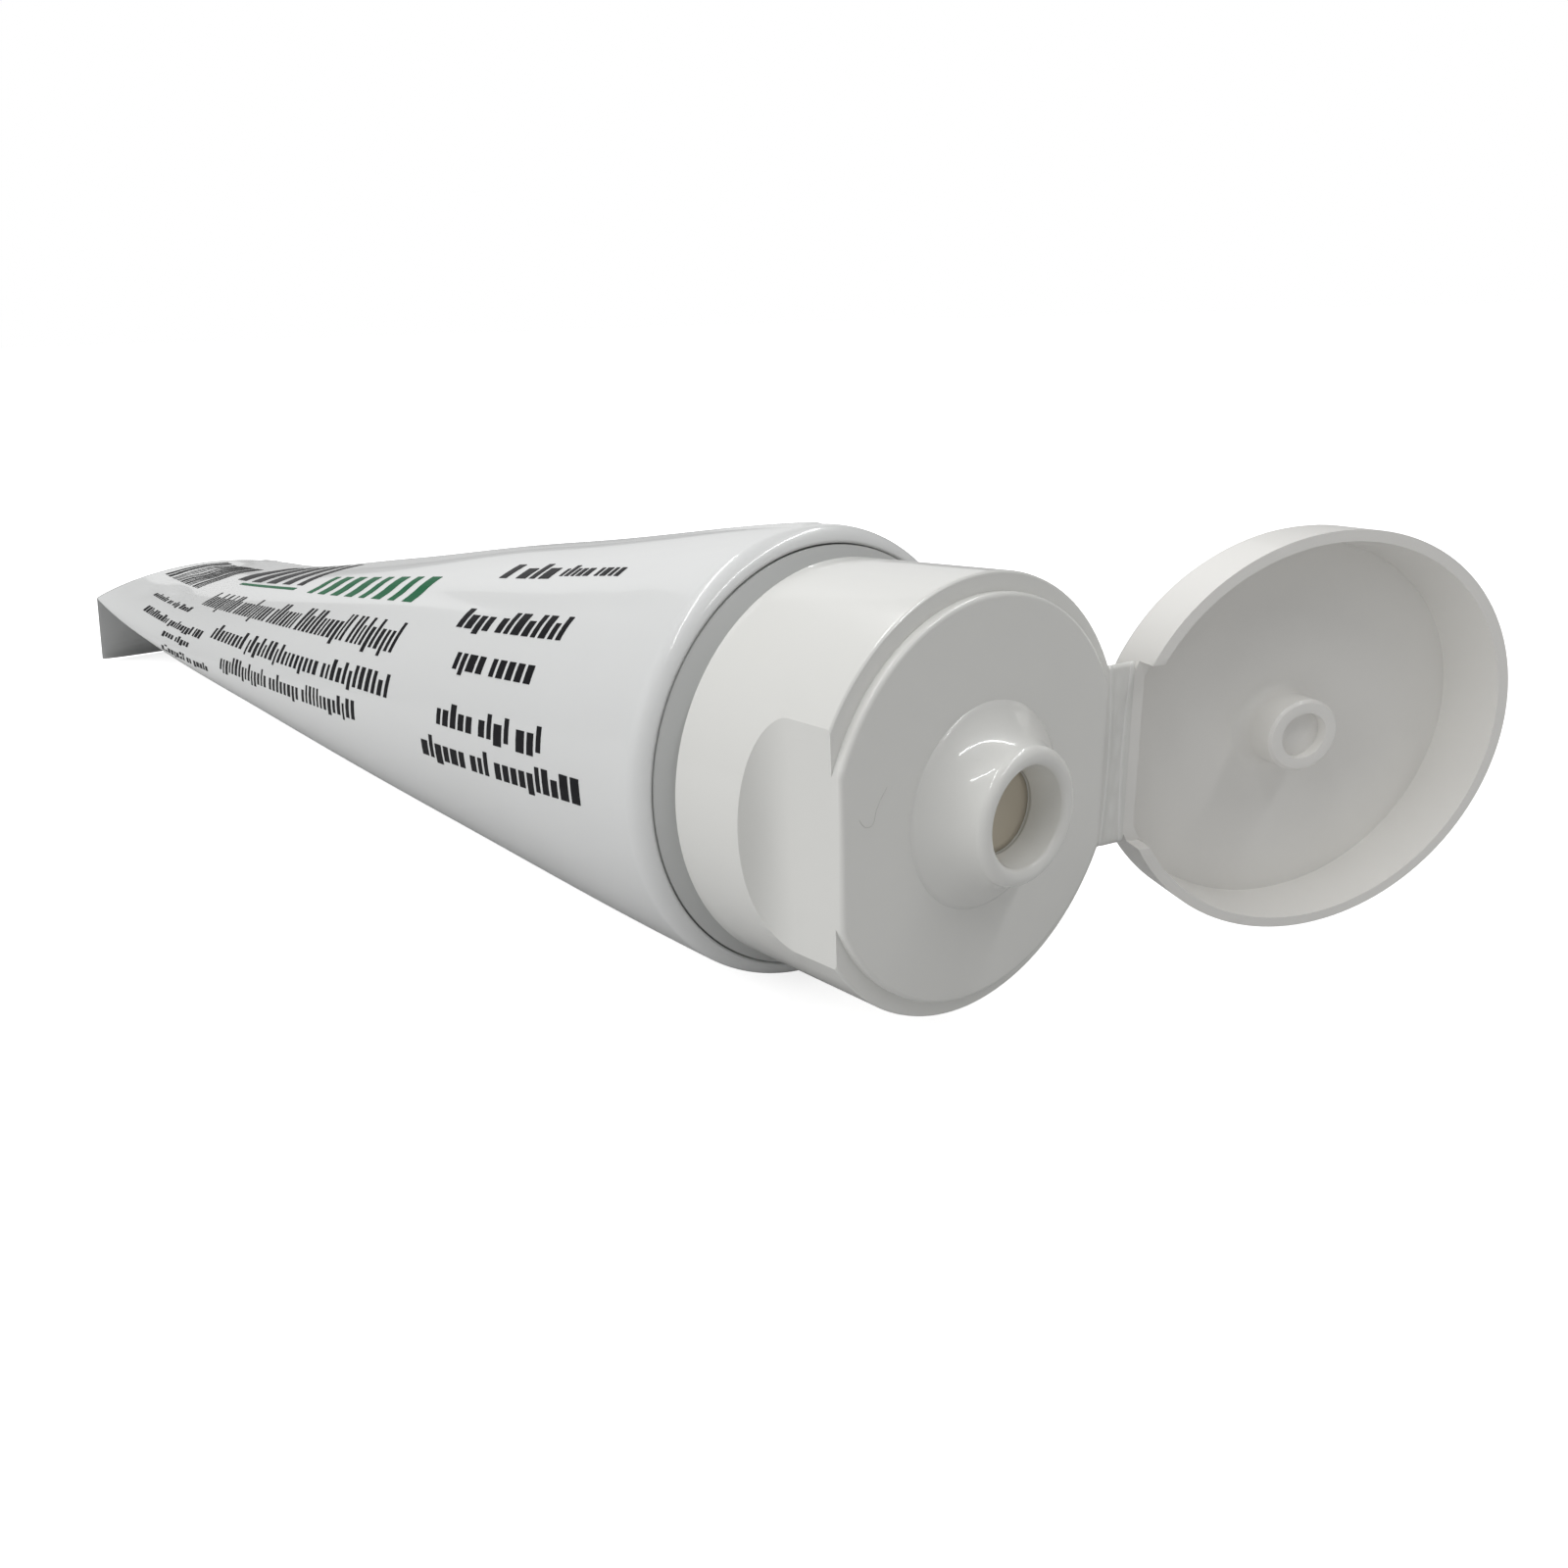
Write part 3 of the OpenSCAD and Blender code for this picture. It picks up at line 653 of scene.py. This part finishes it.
def make_floor():
    """A plain pale floor that shows white and keeps the object's shadow."""
    z = CAD_BOX[0].z
    corners = [(-FLOOR_SIZE, -FLOOR_SIZE, z), (FLOOR_SIZE, -FLOOR_SIZE, z),
               (FLOOR_SIZE, FLOOR_SIZE, z), (-FLOOR_SIZE, FLOOR_SIZE, z)]
    mesh = bpy.data.meshes.new("floor")
    mesh.from_pydata(corners, [], [(0, 1, 2, 3)])
    floor = bpy.data.objects.new("floor", mesh)
    bpy.context.scene.collection.objects.link(floor)
    paper = bpy.data.materials.new("pale_floor")
    paper.use_nodes = True
    nodes, links = paper.node_tree.nodes, paper.node_tree.links
    shader = nodes["Principled BSDF"]
    shader.inputs["Roughness"].default_value = 0.9
    shader.inputs["Specular IOR Level"].default_value = 0.0
    seen = shows_to_camera(nodes, links)
    colour = nodes.new("ShaderNodeMix")
    colour.data_type = "RGBA"
    colour.inputs["A"].default_value = (FLOOR_GREY, FLOOR_GREY, FLOOR_GREY, 1)
    colour.inputs["B"].default_value = (1, 1, 1, 1)
    links.new(seen, colour.inputs["Factor"])
    links.new(colour.outputs["Result"], shader.inputs["Base Color"])
    lift = nodes.new("ShaderNodeMath")
    lift.operation = "MULTIPLY"
    lift.inputs[1].default_value = FLOOR_LIFT
    links.new(seen, lift.inputs[0])
    shader.inputs["Emission Color"].default_value = (1, 1, 1, 1)
    links.new(lift.outputs["Value"], shader.inputs["Emission Strength"])
    mesh.materials.append(paper)


def make_world():
    """A white surround for the camera and a plain soft light for the object."""
    world = bpy.data.worlds.new("surround")
    bpy.context.scene.world = world
    world.use_nodes = True
    nodes, links = world.node_tree.nodes, world.node_tree.links
    nodes.clear()
    mix = nodes.new("ShaderNodeMixShader")
    out = nodes.new("ShaderNodeOutputWorld")
    links.new(shows_to_camera(nodes, links), mix.inputs["Fac"])
    links.new(background(nodes, WORLD_LIGHT).outputs["Background"], mix.inputs[1])
    links.new(background(nodes, 1.0).outputs["Background"], mix.inputs[2])
    links.new(mix.outputs["Shader"], out.inputs["Surface"])


def add_lamp(name, at, towards, size, watts, shine=True):
    """An area lamp, placed and aimed in the row's frame, in metres."""
    data = bpy.data.lights.new(name, "AREA")
    data.shape = "RECTANGLE"
    data.size, data.size_y = size
    data.energy = watts
    lamp = bpy.data.objects.new(name, data)
    lamp.location = Vector(at)
    aim = Vector(towards) - Vector(at)
    lamp.rotation_mode = "QUATERNION"
    lamp.rotation_quaternion = aim.to_track_quat("-Z", "Y")
    lamp.visible_glossy = shine
    bpy.context.scene.collection.objects.link(lamp)
    return lamp


def add_lights():
    """Two long ceiling lamps, a bright wall on the hinge's side, a fill in front and a white ceiling."""
    for name, offset in LAMP_OFFSETS:
        centre = LAMP_ACROSS * offset + LAMP_ALONG * LAMP_SHIFT
        at = (centre.x, centre.y, LAMP_HEIGHT)
        lamp = add_lamp(name, at, (centre.x, centre.y, 0), LAMP_SIZE, CEILING_WATTS)
        lamp.rotation_mode = "XYZ"
        lamp.rotation_euler = (0, 0, math.atan2(LAMP_ALONG.y, LAMP_ALONG.x))
    add_lamp("back_wall", (-1.2, 0.62, 0.45), (0, 0, 0.05), (1.2, 0.8), WALL_WATTS)
    add_lamp("front_fill", (-0.35, -1.1, 0.5), (-0.03, 0, 0), (1.0, 0.8), FILL_WATTS, False)
    add_lamp("white_ceiling", (-0.1, 0, 1.5), (-0.05, 0, 0), (2.0, 2.0), TOP_WATTS)


def make_camera():
    """The photograph's camera: close to the cap, wide, looking along the tube."""
    data = bpy.data.cameras.new("camera")
    data.sensor_width = 36.0
    data.lens = CAMERA_LENS
    data.shift_x, data.shift_y = CAMERA_SHIFT
    data.clip_start, data.clip_end = 0.005, 80
    camera = bpy.data.objects.new("camera", data)
    bpy.context.scene.collection.objects.link(camera)
    bpy.context.scene.camera = camera
    turn = LAY.to_3x3().normalized()
    right = (turn @ CAMERA_RIGHT).normalized()
    up = (turn @ -CAMERA_DOWN).normalized()
    back = right.cross(up)
    frame_of = Matrix((right, up, back)).transposed().to_4x4()
    camera.matrix_world = Matrix.Translation(LAY @ Vector(CAMERA_AT)) @ frame_of


make_camera()
make_world()
make_floor()
add_lights()

sleeve_gloss = plastic("sleeve_gloss", (0.84, 0.85, 0.845), 0.3, clear=0.6)
cap_gloss = plastic("cap_gloss", (0.86, 0.86, 0.83), 0.35, clear=0.8)
add_piece(make_sleeve(), sleeve_gloss, "tube", "sleeve")
add_piece(make_gel(), plastic("gel_wet", (0.62, 0.56, 0.45), 0.3), "tube", "gel")
print_dark, print_green = make_print()
ink_dark = plastic("ink_dark", (0.012, 0.012, 0.014), 0.4, shine=0.08)
add_piece(print_dark, ink_dark, "tube")
ink_green = plastic("ink_green", (0.0, 0.125, 0.045), 0.4, shine=0.08)
add_piece(print_green, ink_green, "tube")

strap_gloss = plastic("strap_gloss", (0.84, 0.84, 0.81), 0.3, worn=(0.98, 0.98, 0.96))
web = make_strap()
web.data.materials.append(strap_gloss)
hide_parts("hinge_strap")
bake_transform(web)

gate = [(PLATE_X, GATE_AT[0] + GATE_R * math.cos(a), GATE_AT[1] + GATE_R * math.sin(a))
        for a in np.linspace(0, 2 * math.pi, 8, endpoint=False)]
mark_grey = plastic("mark_grey", (0.35, 0.35, 0.33), 0.4)
add_piece(thin_line("gate_mark", gate, GATE_WIRE, closed=True), mark_grey, "tube")
scratch = [(PLATE_X, y, z) for y, z in SCRATCH]
scratch_grey = plastic("scratch_grey", (0.62, 0.62, 0.59), 0.5)
add_piece(thin_line("plate_scratch", scratch, SCRATCH_WIRE), scratch_grey, "tube")

add_piece(make_flare(), cap_gloss, "tube")

# The shoulder's white plastic is given a grey colour: painted shade of the groove between the cap's skirt
# and the sleeve's rolled lip.
dress("shoulder", plastic("shoulder_painted_shade", (0.60, 0.61, 0.60), 0.35, clear=0.5))
dress("cap_base", cap_gloss)
dress("lid", plastic("lid_gloss", (0.90, 0.89, 0.86), 0.4, clear=0.3))
soften("cap_base", SOFT_CAP)
soften("lid", SOFT_CAP)
soften("shoulder", SOFT_SHOULDER)

bpy.context.scene.view_settings.view_transform = "Standard"
